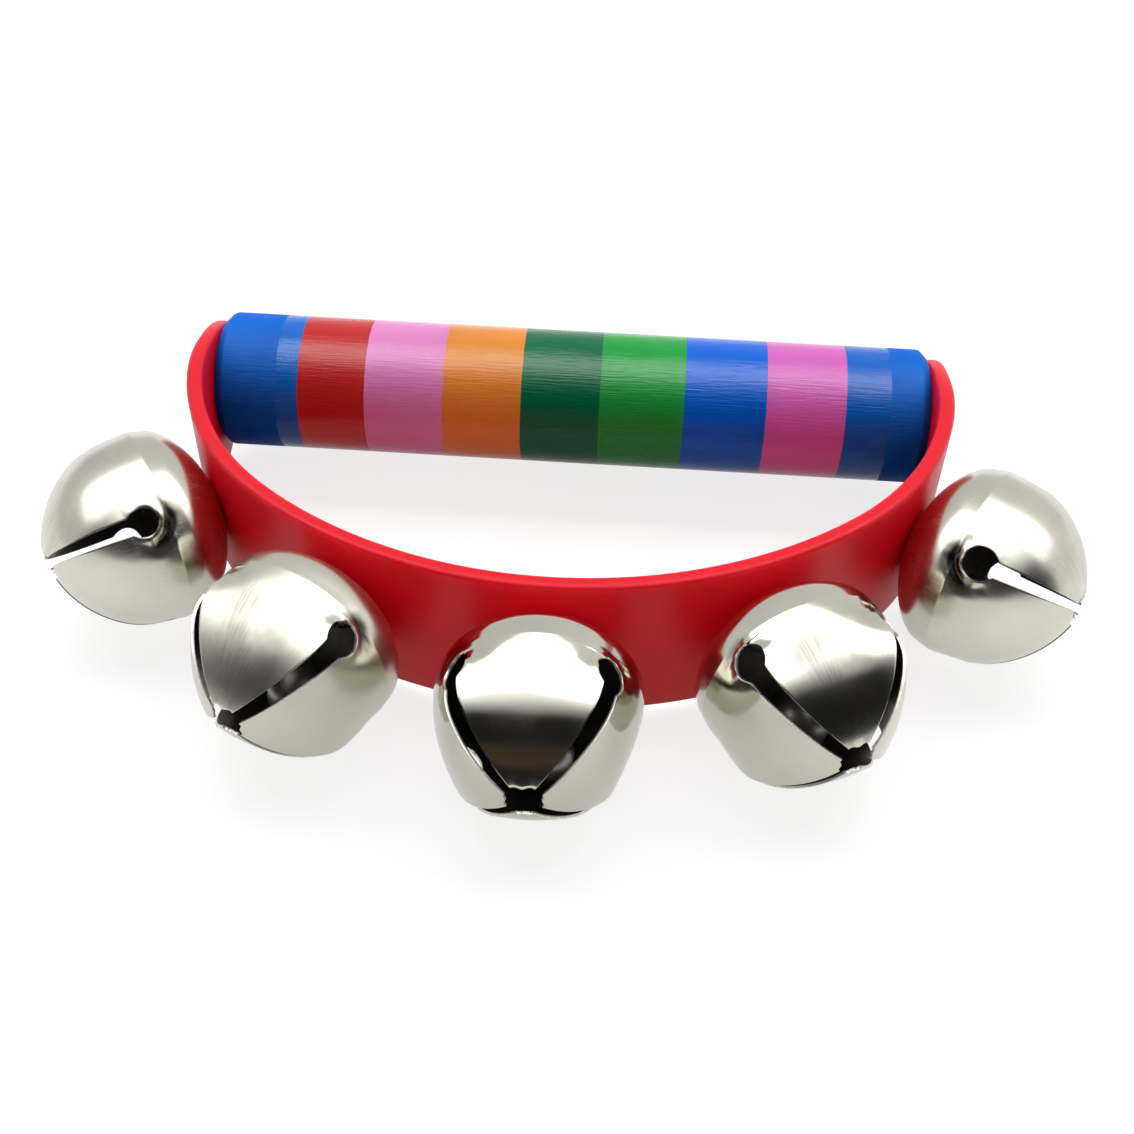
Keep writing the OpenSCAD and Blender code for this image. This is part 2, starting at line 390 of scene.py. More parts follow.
card_sockets = {
    "Base Color": CARD_DARK,
    "Roughness": 1.0,
    "Specular IOR Level": 0.0,
    "Emission Color": blend_colour(card_tree, blackened, card_ramp.outputs["Color"], CARD_BLACK),
    "Emission Strength": 1.0,
}
fill(card_tree, card_shader, card_sockets)
print("card tones:", len(CARD_STOPS))

# %% Shape of the card
CARD_LEFT = -66
CARD_RIGHT = 80
CARD_LOW = -1
CARD_HIGH = 69
CARD_SIDES = 96
CARD_RINGS = 90

bpy.ops.mesh.primitive_uv_sphere_add(segments=CARD_SIDES, ring_count=CARD_RINGS, radius=CARD_R * MM)
card = bpy.context.object
card.name = "dark_card"
card.data.materials.append(card_paint)
bpy.ops.object.mode_set(mode="EDIT")
bpy.ops.mesh.select_mode(type="FACE")
bpy.ops.mesh.select_all(action="DESELECT")
card_mesh = bmesh.from_edit_mesh(card.data)
for face in card_mesh.faces:
    middle = face.calc_center_median()
    rise = math.degrees(math.atan2(middle.z, math.hypot(middle.y, CARD_DROOP * middle.x)))
    aside = math.degrees(math.atan2(middle.x, -middle.y))
    kept = CARD_LOW < rise < CARD_HIGH and CARD_LEFT < aside < CARD_RIGHT
    face.select_set(not kept)
bmesh.update_edit_mesh(card.data)
bpy.ops.mesh.delete(type="FACE")
bpy.ops.object.mode_set(mode="OBJECT")
card.visible_camera = False
card.visible_diffuse = False
print("card has", len(card.data.polygons), "faces")

# %% [markdown]
# ## Two finishes that several materials share
# Pressing, rolling and brushing leave fine lines in one direction, which come and go in patches.
# Paint, plastic and plating are also never quite even. Each effect is one node group, so that every
# material can take it with its own sizes, and later changes are made once.

# %% Node groups for streaks and clouds
NOISE_RANGE = (0.3, 0.7)
PATCH_RANGE = (0.42, 0.66)
STREAK_DETAIL = 3.0
PATCH_DETAIL = 2.0
CLOUD_DETAIL = 4.0


def shader_group(name, inputs, outputs):
    """An empty node group with float or vector sockets, the wires that come in, and its end."""
    group = bpy.data.node_groups.new(name, "ShaderNodeTree")
    for socket, kind in inputs:
        group.interface.new_socket(socket, in_out="INPUT", socket_type="NodeSocket" + kind)
    for socket in outputs:
        group.interface.new_socket(socket, in_out="OUTPUT", socket_type="NodeSocketFloat")
    return group, group.nodes.new("NodeGroupInput").outputs, group.nodes.new("NodeGroupOutput")


def spread_noise(tree, place_at, scale, detail, from_range):
    """Soft noise, with a part of its range stretched to 0 to 1."""
    sockets = {"Vector": place_at, "Scale": scale, "Detail": detail}
    return spread(tree, place(tree, "TexNoise", sockets).outputs[0], from_range, WHOLE)


def use_group(tree, group, sockets):
    """Place a group in a material with its own values."""
    return place(tree, "Group", sockets, node_tree=group).outputs


streak_group, streak_in, streak_out = shader_group(
    "fine_streaks",
    (("Place", "Vector"), ("Fineness", "Vector"), ("Patches", "Float")),
    ("Streak", "Patch"),
)
stretched = reckon_vector(streak_group, "MULTIPLY", streak_in["Place"], streak_in["Fineness"])
streak_sockets = {
    "Streak": spread_noise(streak_group, stretched, 1.0, STREAK_DETAIL, NOISE_RANGE),
    "Patch": spread_noise(
        streak_group, streak_in["Place"], streak_in["Patches"], PATCH_DETAIL, PATCH_RANGE
    ),
}
fill(streak_group, streak_out, streak_sockets)

cloud_group, cloud_in, cloud_out = shader_group(
    "soft_clouds", (("Place", "Vector"), ("Scale", "Float")), ("Cloud",)
)
cloud = spread_noise(cloud_group, cloud_in["Place"], cloud_in["Scale"], CLOUD_DETAIL, NOISE_RANGE)
fill(cloud_group, cloud_out, {"Cloud": cloud})
print("node groups:", streak_group.name, cloud_group.name)

# %% [markdown]
# ## Painted wood
# The dowel was turned against nine brushes, so its stripes have slightly uneven edges. A picture
# could show them, but a ramp along X needs no file and stays sharp: it doesn't blend, and a little
# noise moves its edges. Fine lines along the grain break up the lamp's reflection into glints.

# %% Stripes
STRIPE_ENDS = (-38.76, -29.48, -18.61, -7.62, 3.48, 15.0, 26.55, 37.43)
STRIPE_PAINTS = (
    srgb(16, 108, 206),
    srgb(196, 42, 40),
    srgb(226, 136, 198),
    srgb(228, 142, 54),
    srgb(4, 110, 70),
    srgb(30, 162, 66),
    srgb(0, 104, 222),
    srgb(216, 104, 192),
    srgb(14, 102, 202),
)
EDGE_WOBBLE = 0.06
EDGE_SCALE = 420.0
EDGE_DETAIL = 2.0

paint, paint_tree, paint_shader = new_material("striped_paint")
paint_spot = place(paint_tree, "TexCoord").outputs["Object"]
along = place(paint_tree, "SeparateXYZ", {0: paint_spot}).outputs["X"]
edge_noise = {"Vector": paint_spot, "Scale": EDGE_SCALE, "Detail": EDGE_DETAIL}
ragged = place(paint_tree, "TexNoise", edge_noise).outputs[0]
wobble = spread(paint_tree, ragged, WHOLE, (-EDGE_WOBBLE * MM, EDGE_WOBBLE * MM))
stripe_x = reckon(paint_tree, "ADD", along, wobble)
stripe_share = spread(paint_tree, stripe_x, (-handle_half, handle_half), WHOLE)
stripes = place(paint_tree, "ValToRGB", {"Fac": stripe_share})
stripes.color_ramp.interpolation = "CONSTANT"
stripe_starts = [0.0] + [(handle_half + end * MM) / (2 * handle_half) for end in STRIPE_ENDS]
fill_ramp(stripes, zip(stripe_starts, STRIPE_PAINTS))
print("stripes start at", [round(start, 3) for start in stripe_starts])

# %% Sheen and grain
PAINT_CLOUDS = 110.0
PAINT_TONES = (0.96, 1.06)
PAINT_GLOSS = (0.05, 0.1)
PAINT_MIRROR = 0.2
GRAIN_FINENESS = (220, 4000, 4000)
GRAIN_PATCHES = 90.0
GRAIN_STRENGTH = 0.9
GRAIN_DEPTH = 0.026


def bumped(tree, height, strength, depth):
    """The normal of a surface that a height raises by up to a depth in mm."""
    sockets = {"Strength": strength, "Distance": depth * MM, "Height": height}
    return place(tree, "Bump", sockets).outputs[0]


def clouds(tree, spot, scale):
    """Soft clouds of 0 to 1 over a surface."""
    return use_group(tree, cloud_group, {"Place": spot, "Scale": scale})["Cloud"]


def streaks(tree, spot, fineness, patches):
    """Fine lines and the patches in which they come and go."""
    return use_group(tree, streak_group, {"Place": spot, "Fineness": fineness, "Patches": patches})


grain = streaks(paint_tree, paint_spot, GRAIN_FINENESS, GRAIN_PATCHES)["Streak"]
tone = spread(paint_tree, clouds(paint_tree, paint_spot, PAINT_CLOUDS), WHOLE, PAINT_TONES)
toned = place(paint_tree, "HueSaturation", {"Value": tone, "Color": stripes.outputs["Color"]})
paint_sockets = {
    "Base Color": toned.outputs[0],
    "Roughness": spread(paint_tree, grain, WHOLE, PAINT_GLOSS),
    "Specular IOR Level": PAINT_MIRROR,
    "Normal": bumped(paint_tree, grain, GRAIN_STRENGTH, GRAIN_DEPTH),
}
fill(paint_tree, paint_shader, paint_sockets)
print("grain is", GRAIN_DEPTH, "mm deep")

# %% [markdown]
# ## Dull ends
# Both ends of the dowel were dipped in blue once more, and that coat dried dull. It is a paint of its
# own with hardly any mirror in it, because one paint that turns dull halfway is harder to read.

# %% Dull paint of both ends
DULL_BLUE = srgb(0, 106, 210)
DULL_DEEP_BLUE = srgb(0, 96, 198)
DULL_CLOUDS = 150.0
DULL_ROUGHNESS = (0.5, 0.65)
DULL_MIRROR = 0.08
DULL_FINENESS = (330, 2600, 2600)
DULL_DEPTH = 0.03

dull_paint, dull_tree, dull_shader = new_material("dull_blue_paint")
dull_spot = place(dull_tree, "TexCoord").outputs["Object"]
dull_cloud = clouds(dull_tree, dull_spot, DULL_CLOUDS)
dull_grain = streaks(dull_tree, dull_spot, DULL_FINENESS, GRAIN_PATCHES)["Streak"]
dull_sockets = {
    "Base Color": blend_colour(dull_tree, dull_cloud, DULL_BLUE, DULL_DEEP_BLUE),
    "Roughness": spread(dull_tree, dull_cloud, WHOLE, DULL_ROUGHNESS),
    "Specular IOR Level": DULL_MIRROR,
    "Normal": bumped(dull_tree, dull_grain, GRAIN_STRENGTH, DULL_DEPTH),
}
fill(dull_tree, dull_shader, dull_sockets)
print("dull paint:", dull_paint.name)

# %% [markdown]
# ## Red plastic
# The band is a moulded or cut strip of red plastic with a satin skin. It is thin, and light that enters
# it comes out nearby, so the red glows a little: that is what the subsurface sockets are for.
# The colour hardly changes, so a soft cloud in the red, a fine grain and an uneven sheen give it life.

# %% Band plastic
BAND_RED = (0.92, 0.002, 0.018, 1)
BAND_DEEP_RED = (0.84, 0.0015, 0.015, 1)
PLASTIC_CLOUDS = 60.0
PLASTIC_ROUGHNESS = (0.36, 0.44)
PLASTIC_MIRROR = 0.3
PLASTIC_GRAIN = 1800.0
PLASTIC_STRENGTH = 0.12
PLASTIC_DEPTH = 0.02
GLOW_WEIGHT = 0.8
GLOW_REACH = (1.0, 0.1, 0.1)
GLOW_DEPTH = 4

plastic, plastic_tree, plastic_shader = new_material("satin_red_plastic")
plastic_spot = place(plastic_tree, "TexCoord").outputs["Object"]
plastic_cloud = clouds(plastic_tree, plastic_spot, PLASTIC_CLOUDS)
plastic_grain = clouds(plastic_tree, plastic_spot, PLASTIC_GRAIN)
plastic_sockets = {
    "Base Color": blend_colour(plastic_tree, plastic_cloud, BAND_RED, BAND_DEEP_RED),
    "Roughness": spread(plastic_tree, plastic_cloud, WHOLE, PLASTIC_ROUGHNESS),
    "Specular IOR Level": PLASTIC_MIRROR,
    "Subsurface Weight": GLOW_WEIGHT,
    "Subsurface Radius": GLOW_REACH,
    "Subsurface Scale": GLOW_DEPTH * MM,
    "Normal": bumped(plastic_tree, plastic_grain, PLASTIC_STRENGTH, PLASTIC_DEPTH),
}
fill(plastic_tree, plastic_shader, plastic_sockets)
print("red plastic", BAND_RED[:3])

# %% [markdown]
# ## Nickel, three times
# A jingle bell is pressed from plated sheet steel. Outside it is bright, with brush marks that run from
# the base to the tips, so its pattern follows the piece's own UV map, in millimetres along and across.
# No two bells are worn alike. Two attributes on the mesh say where: wear dulls the plate and rubbing
# leaves marks on the upper petal. A third paints shade into the dents. The material reads all three by
# name.
# Inside, the sheet is dull, and its colour is darkened by painted shade. Its cut edge is lighter than
# the plate: bare metal, made lighter still by a painted highlight.

# %% Bright outside of the bells
NICKEL = (0.59, 0.575, 0.495, 1)
NICKEL_SMOKY = (0.38, 0.37, 0.325, 1)
NICKEL_BRUSHED = (0.32, 0.31, 0.27, 1)
# Painted shade: the dents get this dark colour in place of the shade in their pockets.
PAINTED_DENT_SHADE = (0.035, 0.033, 0.03, 1)
BRUSH_FINENESS = (5.0, 0.16, 1.0)
BRUSH_PATCHES = 0.16
BRUSH_STRENGTH = 0.16
BRUSH_DEPTH = 0.01
SMOKE_CLOUDS = 0.12
SMOKE_RANGE = (0.35, 0.8)
MARK_RANGE = (0.05, 0.6)
RUB_SHARES = (0.05, 1.0)
PAINTED_DENT_SHADE_RANGE = (0.14, 0.45)
PAINTED_DENT_SHADE_SHARES = (0.0, 0.95)
NICKEL_POLISH = (0.11, 0.22)
WEAR_DULLS = 0.15


def sheet_place(tree):
    """The place on the unrolled sheet, from the piece's UV map."""
    return place(tree, "UVMap", uv_map="UVMap").outputs[0]


def painted_on(tree, name):
    """The value of an attribute of the mesh."""
    return place(tree, "Attribute", attribute_name=name).outputs["Fac"]


nickel, nickel_tree, nickel_shader = new_material("bright_nickel")
sheet_spot = sheet_place(nickel_tree)
rub_share = spread(nickel_tree, painted_on(nickel_tree, "rubbed"), WHOLE, RUB_SHARES)
smoke = spread(nickel_tree, clouds(nickel_tree, sheet_spot, SMOKE_CLOUDS), SMOKE_RANGE, WHOLE)
smoke_share = reckon(nickel_tree, "MULTIPLY", smoke, rub_share)
brush = streaks(nickel_tree, sheet_spot, BRUSH_FINENESS, BRUSH_PATCHES)
brushed = reckon(nickel_tree, "MULTIPLY", brush["Streak"], brush["Patch"])
marks = spread(nickel_tree, brushed, MARK_RANGE, WHOLE)
mark_share = reckon(nickel_tree, "MULTIPLY", marks, rub_share)
# Painted shade in the dents, read from the mesh and blended into the nickel's colour.
painted_dent_shade_share = spread(nickel_tree, painted_on(nickel_tree, "painted_dent_shade"), PAINTED_DENT_SHADE_RANGE, PAINTED_DENT_SHADE_SHARES)
smoky_nickel = blend_colour(nickel_tree, smoke_share, NICKEL, NICKEL_SMOKY)
marked_nickel = blend_colour(nickel_tree, mark_share, smoky_nickel, NICKEL_BRUSHED)
polish = spread(nickel_tree, brushed, WHOLE, NICKEL_POLISH)
dulled = reckon(nickel_tree, "MULTIPLY", painted_on(nickel_tree, "wear"), WEAR_DULLS)
nickel_sockets = {
    "Base Color": blend_colour(nickel_tree, painted_dent_shade_share, marked_nickel, PAINTED_DENT_SHADE),
    "Metallic": 1.0,
    "Roughness": reckon(nickel_tree, "ADD", polish, dulled),
    "Normal": bumped(nickel_tree, brushed, BRUSH_STRENGTH, BRUSH_DEPTH),
}
fill(nickel_tree, nickel_shader, nickel_sockets)
print("outside of the bells:", nickel.name)

# %% Inside and cut edge of the bells
# Painted shade: the inside gets a much darker colour than the nickel outside.
SHADED_INSIDE_TONES = ((0.20, 0.19, 0.17, 1), (0.13, 0.12, 0.11, 1))
INSIDE_CLOUDS = 0.3
INSIDE_ROUGHNESS = (0.32, 0.5)
# Painted highlight: the cut edge is partly bare metal and partly lighter than any plate, for the bright
# rim lines.
CUT_EDGE_HIGHLIGHT_TONES = ((0.86, 0.84, 0.78, 1), (0.62, 0.59, 0.52, 1))
CUT_CLOUDS = 1.6
CUT_ROUGHNESS = (0.28, 0.45)


def drifting_metal(tree, shader, cloud, tones, roughness):
    """Make a shader a metal that drifts between two colours and two degrees of polish."""
    sockets = {
        "Base Color": blend_colour(tree, cloud, *tones),
        "Roughness": spread(tree, cloud, WHOLE, roughness),
        "Metallic": 1.0,
    }
    fill(tree, shader, sockets)


bell_inside, inside_tree, inside_shader = new_material("dull_shaded_bell_inside")
inside_cloud = clouds(inside_tree, sheet_place(inside_tree), INSIDE_CLOUDS)
drifting_metal(inside_tree, inside_shader, inside_cloud, SHADED_INSIDE_TONES, INSIDE_ROUGHNESS)

cut_edge, edge_tree, edge_shader = new_material("cut_edge_with_painted_highlight")
edge_cloud = clouds(edge_tree, sheet_place(edge_tree), CUT_CLOUDS)
drifting_metal(edge_tree, edge_shader, edge_cloud, CUT_EDGE_HIGHLIGHT_TONES, CUT_ROUGHNESS)
print("other nickel finishes:", bell_inside.name, cut_edge.name)

# %% [markdown]
# ## Small metal
# Peas, rivets, mandrels and screws keep their CAD shapes, which are right, and only need their metals.
# One recipe makes all four: a metal whose colour and sheen drift, with fine lines from rolling it.

# %% Metals of the small parts
PEA_TONES = ((0.36, 0.35, 0.34, 1), (0.22, 0.21, 0.20, 1))
RIVET_TONES = ((0.78, 0.78, 0.79, 1), (0.62, 0.62, 0.63, 1))
MANDREL_TONES = ((0.40, 0.39, 0.38, 1), (0.26, 0.25, 0.24, 1))
SCREW_TONES = ((0.70, 0.69, 0.66, 1), (0.55, 0.54, 0.50, 1))
ROLLED_FINENESS = (900, 900, 6000)
ROLLED_STRENGTH = 0.1
ROLLED_DEPTH = 0.01


def small_metal(name, tones, roughness, scale):
    """A drifting metal with fine lines in it; scale is that of its clouds."""
    made, tree, shader = new_material(name)
    spot = place(tree, "TexCoord").outputs["Object"]
    drifting_metal(tree, shader, clouds(tree, spot, scale), tones, roughness)
    lines = streaks(tree, spot, ROLLED_FINENESS, scale)["Streak"]
    fill(tree, shader, {"Normal": bumped(tree, lines, ROLLED_STRENGTH, ROLLED_DEPTH)})
    return made


screw_metal = small_metal("bright_zinc", SCREW_TONES, roughness=(0.22, 0.36), scale=500.0)
NODE_METALS = {
    "bell_pea_": small_metal("dull_pea_steel", PEA_TONES, roughness=(0.3, 0.5), scale=400.0),
    "bell_rivet_": small_metal("satin_aluminium", RIVET_TONES, roughness=(0.28, 0.42), scale=700.0),
    "rivet_mandrel_": small_metal("mandrel_steel", MANDREL_TONES, roughness=(0.35, 0.5), scale=900.0),
    "left_end_screw": screw_metal,
    "right_end_screw": screw_metal,
}
metal_nodes = 0
for node_name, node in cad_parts.items():
    for start, metal in NODE_METALS.items():
        if node_name.startswith(start):
            node.data.materials.clear()
            node.data.materials.append(metal)
            metal_nodes += 1
print("metals on", metal_nodes, "nodes")

# %% [markdown]
# ## Painted dowel
# The handle is a length of round stock whose ends were broken with a chamfer before painting.
# A cylinder is the right start. Its two end edges are bevelled flat for the chamfer, and a small
# rounding then softens the chamfer's edges, because paint fills a sharp corner. Bisect cuts a ring of
# edges where the dull coat ends, and the faces beyond it get the dull paint.

# %% Turn the dowel
DOWEL_SIDES = 160
DOWEL_CHAMFER = 1.2
PAINT_ROUND = 0.3
PAINT_STEPS = 3
SHARP = math.radians(25)


def apply_modifier(piece, name, kind, **settings):
    """Add a modifier to the active piece and apply it at once."""
    modifier = piece.modifiers.new(name, kind)
    for setting, value in settings.items():
        setattr(modifier, setting, value)
    bpy.ops.object.modifier_apply(modifier=modifier.name)


def round_edges(piece, name, width, steps, sharp):
    """Round the edges that turn by more than an angle, to a width in mm."""
    limit = {"limit_method": "ANGLE", "angle_limit": sharp}
    apply_modifier(piece, name, "BEVEL", width=width * MM, segments=steps, **limit)


bpy.ops.object.select_all(action="DESELECT")
bpy.ops.mesh.primitive_cylinder_add(
    vertices=DOWEL_SIDES,
    radius=handle_r,
    depth=2 * handle_half,
    location=handle_mid,
    rotation=(0, math.pi / 2, 0),
)
dowel = bpy.context.object
bpy.ops.object.transform_apply(location=True, rotation=True, scale=True)
bpy.ops.object.mode_set(mode="EDIT")
bpy.ops.mesh.select_mode(type="EDGE")
bpy.ops.mesh.select_all(action="DESELECT")
dowel_mesh = bmesh.from_edit_mesh(dowel.data)
for edge in dowel_mesh.edges:
    across_axis = abs(edge.verts[0].co.x - edge.verts[1].co.x) < MM
    edge.select_set(across_axis)
bmesh.update_edit_mesh(dowel.data)
bpy.ops.mesh.bevel(offset=DOWEL_CHAMFER * MM, segments=1)
bpy.ops.object.mode_set(mode="OBJECT")
round_edges(dowel, "paint_fills_corners", PAINT_ROUND, PAINT_STEPS, SHARP)
print("dowel is turned, with", len(dowel.data.polygons), "faces")

# %% Paint the dowel
DULL_LEFT = -41.8
DULL_RIGHT = 43.6


def settle(piece, name, body, node):
    """Name a finished piece, let it ride on its body and stand for its node."""
    piece.name = name
    piece.data.name = name
    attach(piece, body)
    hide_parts(node)


bpy.ops.object.mode_set(mode="EDIT")
for dull_edge in (DULL_LEFT, DULL_RIGHT):
    bpy.ops.mesh.select_all(action="SELECT")
    bpy.ops.mesh.bisect(plane_co=(dull_edge * MM, 0, 0), plane_no=(1, 0, 0))
bpy.ops.object.mode_set(mode="OBJECT")
bpy.ops.object.shade_smooth_by_angle(angle=SHARP)
dowel.data.materials.append(paint)
dowel.data.materials.append(dull_paint)
for face in dowel.data.polygons:
    if not DULL_LEFT * MM < face.center.x < DULL_RIGHT * MM:
        face.material_index = 1
settle(dowel, "painted_dowel", BODY, "handle_dowel")
print("dowel has", len(dowel.data.polygons), "faces")

# %% [markdown]
# ## Glints on the paint
# Gloss paint throws back a lamp in thin bright lines. A brighter lamp overhead would give them too, but
# it would also change the picture in the bells. So one more lamp is kept for the dowel alone: light
# linking names a collection of receivers, and nothing outside of it gets this light.

# %% Lamp for the glints on the paint
GLINT_HEIGHT = 1150
GLINT_FRONT = -200
GLINT_BACK = 450
GLINT_RADIANCE = 6.5

glint = overhead_lamp("glint_lamp", GLINT_HEIGHT, GLINT_FRONT, GLINT_BACK, GLINT_RADIANCE)
painted = bpy.data.collections.new("painted_handle")
painted.objects.link(dowel)
glint.light_linking.receiver_collection = painted

# %% [markdown]
# ## Red band
# The band was one flat strip, bent round a former: straight beside the dowel's ends, then a side bend,
# then one long bend across the front. Spin does exactly that to the end of a flat strip.
# The tongues at both ends are spun as half discs about the screws. They are then stretched to half
# ellipses, into which the width of the band runs smoothly.
# Solidify gives the sheet its thickness and Bevel the rounded rim, which needs evenly spread edges.

# %% Start with a short flat strip
SIDE_R = 36
SIDE_TURN = 50
END_STRAIGHT = 5.8
FRONT_CENTRE = 10.885
TONGUE_R = 9
STRIP_ROWS = 8
END_STEPS = 6

bend_start_y = handle_mid.y - END_STRAIGHT * MM
left_centre = Vector((dowel_low.x + SIDE_R * MM, bend_start_y, handle_mid.z))
right_centre = Vector((dowel_high.x - SIDE_R * MM, bend_start_y, handle_mid.z))
front_centre = Vector((handle_mid.x, handle_mid.y + FRONT_CENTRE * MM, handle_mid.z))

bpy.ops.object.select_all(action="DESELECT")
bpy.ops.mesh.primitive_grid_add(
    x_subdivisions=STRIP_ROWS, y_subdivisions=END_STEPS, size=1, rotation=(0, math.pi / 2, 0)
)
band = bpy.context.object
band.scale = (2 * TONGUE_R * MM, END_STRAIGHT * MM, 1)
band.location = (dowel_low.x, handle_mid.y - END_STRAIGHT * MM / 2, handle_mid.z)
bpy.ops.object.transform_apply(location=True, rotation=True, scale=True)
print("strip starts with", len(band.data.polygons), "faces")

# %% Bend the strip
SIDE_STEPS = 24
FRONT_STEPS = 48
NEAR = 0.01 * MM

front_turn = 2 * (90 - SIDE_TURN)
BENDS = (
    (left_centre, SIDE_TURN, SIDE_STEPS),
    (front_centre, front_turn, FRONT_STEPS),
    (right_centre, SIDE_TURN, SIDE_STEPS),
)


def pick(piece, wanted):
    """In edit mode, select the points that wanted() accepts, with the edges between them."""
    bpy.ops.mesh.select_mode(type="VERT")
    bpy.ops.mesh.select_all(action="DESELECT")
    mesh = bmesh.from_edit_mesh(piece.data)
    for point in mesh.verts:
        point.select_set(wanted(point.co))
    mesh.select_flush(True)
    bmesh.update_edit_mesh(piece.data)
    return sum(1 for point in mesh.verts if point.select)


def turn_about(point, centre, degrees):
    """A place turned about an upright axis."""
    return centre + Matrix.Rotation(math.radians(degrees), 3, "Z") @ (point - centre)


bpy.ops.object.mode_set(mode="EDIT")
strip_end = Vector((dowel_low.x, bend_start_y, handle_mid.z))
for centre, degrees, steps in BENDS:
    found = pick(band, lambda co: (co.xy - strip_end.xy).length < NEAR)
    bpy.ops.mesh.spin(steps=steps, angle=-math.radians(degrees), center=centre, axis=(0, 0, 1))
    strip_end = turn_about(strip_end, centre, degrees)
    print("bent", degrees, "degrees from", found, "points to", in_mm(strip_end))

# %% Add the right end and both tongues
TONGUE_STEPS = 24

end_step = (0, END_STRAIGHT / END_STEPS * MM, 0)
pick(band, lambda co: (co.xy - strip_end.xy).length < NEAR)
for _ in range(END_STEPS):
    bpy.ops.mesh.extrude_region_move(TRANSFORM_OT_translate={"value": end_step})
for end_x in (dowel_low.x, dowel_high.x):
    screw_at = Vector((end_x, handle_mid.y, handle_mid.z))
    pick(band, lambda co: (co.xy - screw_at.xy).length < NEAR and co.z > handle_mid.z - NEAR)
    bpy.ops.mesh.spin(steps=TONGUE_STEPS, angle=math.pi, center=screw_at, axis=(1, 0, 0))
bpy.ops.mesh.select_all(action="SELECT")
bpy.ops.mesh.remove_doubles(threshold=NEAR)
bpy.ops.mesh.normals_make_consistent(inside=False)
bpy.ops.object.mode_set(mode="OBJECT")
print("strip has", len(band.data.polygons), "faces")

# %% Widen the strip and draw out its tongues
TONGUE_BACK = 9
TONGUE_LONG = 22

ellipse_long = TONGUE_LONG * MM
ellipse_ahead = (TONGUE_LONG - TONGUE_BACK) * MM


def tongue_stretch(behind, up):
    """How many times farther out a point of the strip moves to fill the width and the ellipse."""
    if behind <= 0:
        share = max(ellipse_ahead + behind, 0.0) / ellipse_long
        return band_half_w * math.sqrt(1 - share**2) / (TONGUE_R * MM)
    angle = math.atan2(up, behind)
    square = (math.cos(angle) / ellipse_long) ** 2 + (math.sin(angle) / band_half_w) ** 2
    half_linear = ellipse_ahead * math.cos(angle) / ellipse_long**2
    constant = (ellipse_ahead / ellipse_long) ** 2 - 1
    reach = (math.sqrt(half_linear**2 - square * constant) - half_linear) / square
    return reach / (TONGUE_R * MM)


for point in band.data.vertices:
    behind = point.co.y - handle_mid.y
    up = point.co.z - handle_mid.z
    stretch = tongue_stretch(behind, up)
    point.co.z = handle_mid.z + up * stretch
    if behind > 0:
        point.co.y = handle_mid.y + behind * stretch
back_edge = max(point.co.y for point in band.data.vertices)
print("tongues end at", in_mm([back_edge]), "mm on Y")

# %% Give the band its thickness and round the rim
BAND_T = 2.1
RIM_ROUND = 0.65
RIM_STEPS = 4
SHEET_SHARP = math.radians(50)


def select_only(piece):
    """Deselect everything, then select one piece and make it the active one."""
    bpy.ops.object.select_all(action="DESELECT")
    piece.select_set(True)
    bpy.context.view_layer.objects.active = piece


front_face = min(band.data.polygons, key=lambda face: face.center.y)
if front_face.normal.y > 0:
    band.data.flip_normals()
select_only(band)
sheet = {"thickness": BAND_T * MM, "offset": 1.0, "use_even_offset": True}
apply_modifier(band, "sheet_thickness", "SOLIDIFY", **sheet)
round_edges(band, "rounded_rim", RIM_ROUND, RIM_STEPS, SHEET_SHARP)
bpy.ops.object.shade_smooth_by_angle(angle=SHEET_SHARP)
band.data.materials.append(plastic)
settle(band, "red_band", BODY, "bell_band")
for axis in range(3):
    spots = [point.co[axis] for point in band.data.vertices]
    node_span = in_mm((band_low[axis], band_high[axis]))
    print("XYZ"[axis], "of the band", in_mm((min(spots), max(spots))), "and of its node", node_span)

# %% [markdown]
# ## Jingle bells
# Each bell is one blank of sheet steel with four arms, cupped in a press and then bent shut.
# So the base is a round cup, a bend runs round its rim, and each arm is curved along its length and,
# soon after the bend, flat across. A puckered lip is left round the hole at the foot of each slot.
# A ball with cut slots would show none of that, and a boolean would leave poor faces for mirror metal.
# So each petal is a grid whose rows run from the rivet to the tip, and a formula gives each point its
# place. Four petals are joined and merged at the base, and Solidify then makes sheet of them.

# %% Three forms of petal
BELL_R = 12.5
SEAT_R = 2.7
RIVET_HOLE_R = 1.7
RING_HEIGHT = BELL_R - SEAT_R
WALL_LOW = 6.1
BEND_HEIGHT = 8.1
FULL = {
    "wall_r": 12.35,
    "bend_r": 12.5,
    "tip_lean": 74,
    "power": 1.28,
    "length": 18.95,
    "flatness": 0.55,
    "flat_from": -0.5,
}
FLARED = {**FULL, "wall_r": 12.2, "bend_r": 12.7, "tip_lean": 75, "length": 19.1, "flatness": 0.2}
SLENDER = {**FULL, "tip_lean": 64, "power": 1.0, "length": 18.4, "flatness": 0.8, "flat_from": -3.0}
print("the ring of a bell is", round(RING_HEIGHT, 2), "mm over its seat")

# %% Profile of a bell from rivet to mouth
CUP_FULLNESS = 1.6
LEAN_AT_BEND = 6
CUP_STEPS = 200
PETAL_STEPS = 400


def cup_profile(form):
    """Points (radius, height) of the cup from the rivet hole to the bend, in mm."""
    points = [(RIVET_HOLE_R, 0.0)]
    power = 2 / CUP_FULLNESS
    for step in range(CUP_STEPS + 1):
        angle = math.pi / 2 * step / CUP_STEPS
        radius = SEAT_R + (form["wall_r"] - SEAT_R) * math.sin(angle) ** power
        height = WALL_LOW * (1 - math.cos(angle) ** power)
        points.append((radius, height))
    points.append((form["bend_r"], BEND_HEIGHT))
    return points


